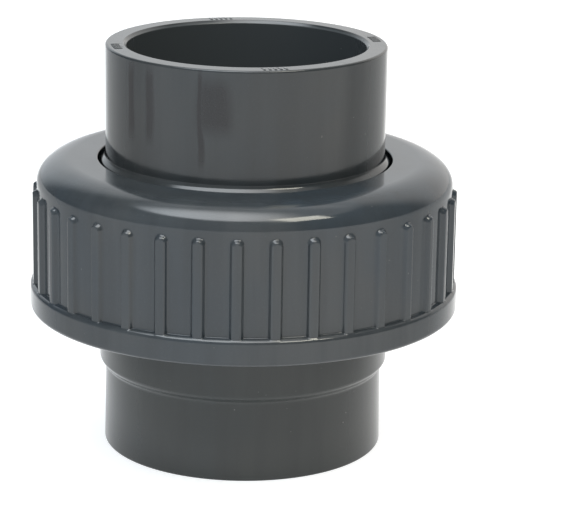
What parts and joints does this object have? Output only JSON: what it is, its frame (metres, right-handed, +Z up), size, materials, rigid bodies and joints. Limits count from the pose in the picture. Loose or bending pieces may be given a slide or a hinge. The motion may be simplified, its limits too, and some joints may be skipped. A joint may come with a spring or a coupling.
{
  "type": "pipe union",
  "caption": "Plastic pipe union: a ribbed nut clamps a flanged socket end onto an O-ring in a threaded socket bush, so that the pipes can be parted.",
  "frame": {"origin": "centre of the threaded bush's lower rim, where the union stands", "axes": "+Z up the pipe's axis, from the threaded bush to the union end; X and Y across the pipe, with no preferred side"},
  "size_m": [0.1148, 0.1148, 0.109],
  "materials": {
    "bush_plastic": "moulded dark grey PVC, satin",
    "ring_rubber": "black EPDM rubber",
    "end_plastic": "moulded dark grey PVC, glossy",
    "nut_plastic": "moulded blue-grey PVC, glossy"
  },
  "bodies": {
    "bush": {"threaded_bush": "bush_plastic", "o_ring": "ring_rubber"},
    "end": {"union_end": "end_plastic"},
    "nut": {"union_nut": "nut_plastic"}
  },
  "joints": [
    {"name": "end_lift", "type": "slide", "parent": "bush", "child": "end", "axis": [0, 0, 1], "range_m": [0, 0.0201]},
    {"name": "nut_turn", "type": "hinge", "parent": "end", "child": "nut", "pos_m": [0, 0, 0.058], "axis": [0, 0, 1], "range_deg": [0, 1440]}
  ],
  "couplings": [
    {"joint": "end_lift", "follows": "nut_turn", "m_per_rad": 0.00079577}
  ]
}
